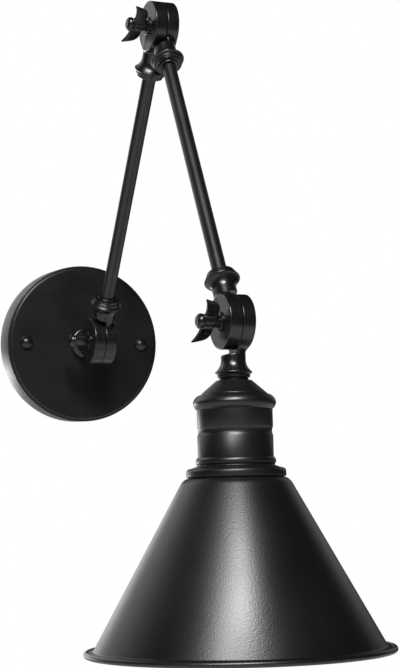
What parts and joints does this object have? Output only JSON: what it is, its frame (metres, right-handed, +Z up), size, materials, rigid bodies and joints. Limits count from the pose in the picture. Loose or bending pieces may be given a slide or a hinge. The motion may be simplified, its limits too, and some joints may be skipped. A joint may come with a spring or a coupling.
{
  "type": "articulated wall lamp",
  "caption": "Accordion wall lamp: round wall canopy, two tubular arms on three friction swivels with wing screws, and a conical metal shade over a screw lampholder.",
  "frame": {"origin": "centre of the canopy's back, on the wall", "axes": "+Z up, +Y into the wall, the lamp reaches out along -Y, +X to the right for someone who faces the wall; hinge axes along X"},
  "size_m": [0.188, 0.4124, 0.433],
  "materials": {
    "black_powder_coat": "satin black powder coat on spun and drawn steel",
    "shade_coat": "fine-sand satin black powder coat outside, white enamel inside",
    "black_cast_zinc": "smooth satin black coat on die-cast metal",
    "black_screw": "glossy black coat on turned and cast screw",
    "zinc_plated_steel": "zinc plated",
    "brass": "drawn, slightly dull",
    "moulded_phenolic": "moulded black phenolic",
    "vulcanised_fibre": "punched red fibre sheet",
    "green_screw": "green passivated"
  },
  "bodies": {
    "wall_plate": {"canopy": "black_powder_coat", "mounting_bar": "zinc_plated_steel", "mounting_studs": "zinc_plated_steel", "stud_nuts": "zinc_plated_steel", "cap_nuts": "black_powder_coat", "ground_screw": "green_screw", "wall_knuckle": "black_cast_zinc", "wall_nipple": "zinc_plated_steel", "wall_tooth_washer": "zinc_plated_steel", "wall_lock_nut": "zinc_plated_steel"},
    "lower_arm": {"lower_arm_base_knuckle": "black_cast_zinc", "lower_arm_tube": "black_powder_coat", "lower_arm_elbow_knuckle": "black_cast_zinc", "wall_friction_ring": "vulcanised_fibre"},
    "upper_arm": {"upper_arm_elbow_knuckle": "black_cast_zinc", "upper_arm_tube": "black_powder_coat", "upper_arm_head_knuckle": "black_cast_zinc", "elbow_friction_ring": "vulcanised_fibre"},
    "lamp_head": {"head_knuckle": "black_cast_zinc", "head_nipple": "zinc_plated_steel", "head_lock_nut": "zinc_plated_steel", "socket_cup": "black_powder_coat", "lampholder_cap": "moulded_phenolic", "lampholder_body": "moulded_phenolic", "terminal_screws": "brass", "screw_shell": "brass", "centre_contact": "brass", "shade_collar": "black_powder_coat", "shade": "shade_coat", "shade_ring": "moulded_phenolic", "head_friction_ring": "vulcanised_fibre"},
    "wall_tightener": {"wall_wing_screw": "black_screw", "wall_screw_washer": "black_screw"},
    "elbow_tightener": {"elbow_wing_screw": "black_screw", "elbow_screw_washer": "black_screw"},
    "head_tightener": {"head_wing_screw": "black_screw", "head_screw_washer": "black_screw"}
  },
  "joints": [
    {"name": "wall_swivel", "type": "hinge", "parent": "wall_plate", "child": "lower_arm", "pos_m": [0, -0.058, 0], "axis": [1, 0, 0], "range_deg": [-35, 87]},
    {"name": "elbow_swivel", "type": "hinge", "parent": "lower_arm", "child": "upper_arm", "pos_m": [0, -0.18455, 0.20978], "axis": [1, 0, 0], "range_deg": [-118.5, 6]},
    {"name": "head_swivel", "type": "hinge", "parent": "upper_arm", "child": "lamp_head", "pos_m": [0, -0.30853, -0.00153], "axis": [-1, 0, 0], "range_deg": [-35, 120]},
    {"name": "wall_wing_turn", "type": "hinge", "parent": "lower_arm", "child": "wall_tightener", "pos_m": [0, -0.058, 0], "axis": [-1, 0, 0], "range_deg": [0, 270]},
    {"name": "elbow_wing_turn", "type": "hinge", "parent": "upper_arm", "child": "elbow_tightener", "pos_m": [0, -0.18455, 0.20978], "axis": [-1, 0, 0], "range_deg": [0, 270]},
    {"name": "head_wing_turn", "type": "hinge", "parent": "lamp_head", "child": "head_tightener", "pos_m": [0, -0.30853, -0.00153], "axis": [-1, 0, 0], "range_deg": [0, 270]}
  ]
}
